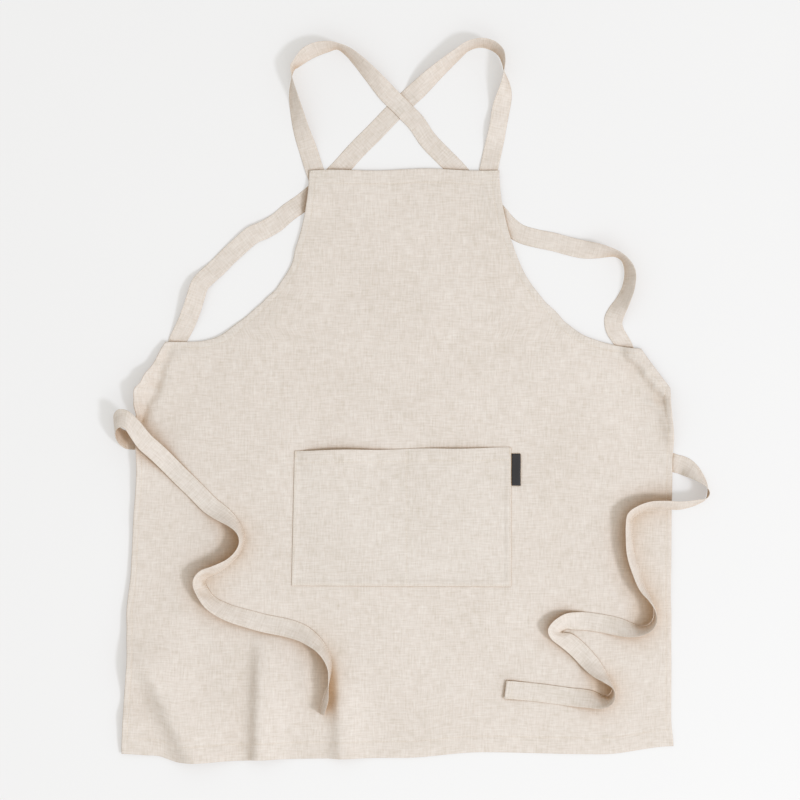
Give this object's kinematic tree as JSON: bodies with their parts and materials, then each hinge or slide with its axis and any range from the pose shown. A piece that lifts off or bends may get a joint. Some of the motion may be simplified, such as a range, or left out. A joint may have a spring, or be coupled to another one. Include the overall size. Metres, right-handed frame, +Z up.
{
  "type": "cross-back apron",
  "caption": "Full-length linen apron laid flat, with a bib, a divided patch pocket, crossed shoulder straps and waist ties.",
  "frame": {"origin": "centre front, in the middle of the bottom hem's back face, on the surface that the apron lies on", "axes": "+Y runs from the bottom hem up to the bib, +Z is up out of the apron's face as it lies flat, +X is to the right of someone looking down at that face"},
  "size_m": [0.8725, 1.0574, 0.0402],
  "materials": {
    "linen": "natural oatmeal plain-weave linen with slubs, matte",
    "thread": "tone-on-tone spun sewing thread, matte",
    "label_tape": "closely woven dark tape, slight sheen"
  },
  "bodies": {
    "apron": {"front_panel": "linen", "armhole_facing_left": "linen", "armhole_facing_right": "linen", "pocket": "linen", "shoulder_strap_left": "linen", "shoulder_strap_right": "linen", "waist_tie_left": "linen", "waist_tie_right": "linen", "bottom_hem_stitching": "thread", "side_hem_stitching_left": "thread", "side_hem_stitching_right": "thread", "armhole_stitching_left": "thread", "armhole_stitching_right": "thread", "bib_hem_stitching": "thread", "pocket_edge_stitching": "thread", "pocket_mouth_stitching": "thread", "pocket_divider_stitching": "thread", "pocket_bar_tacks": "thread", "strap_front_stitching": "thread", "strap_back_stitching": "thread", "tie_root_stitching": "thread", "tie_end_stitching_left": "thread", "tie_end_stitching_right": "thread"},
    "label": {"label": "label_tape"}
  },
  "joints": [
    {"name": "label_flip", "type": "hinge", "parent": "apron", "child": "label", "pos_m": [0.1608, 0.4125, 0.0058], "axis": [0, -1, 0], "range_deg": [0, 150]}
  ]
}
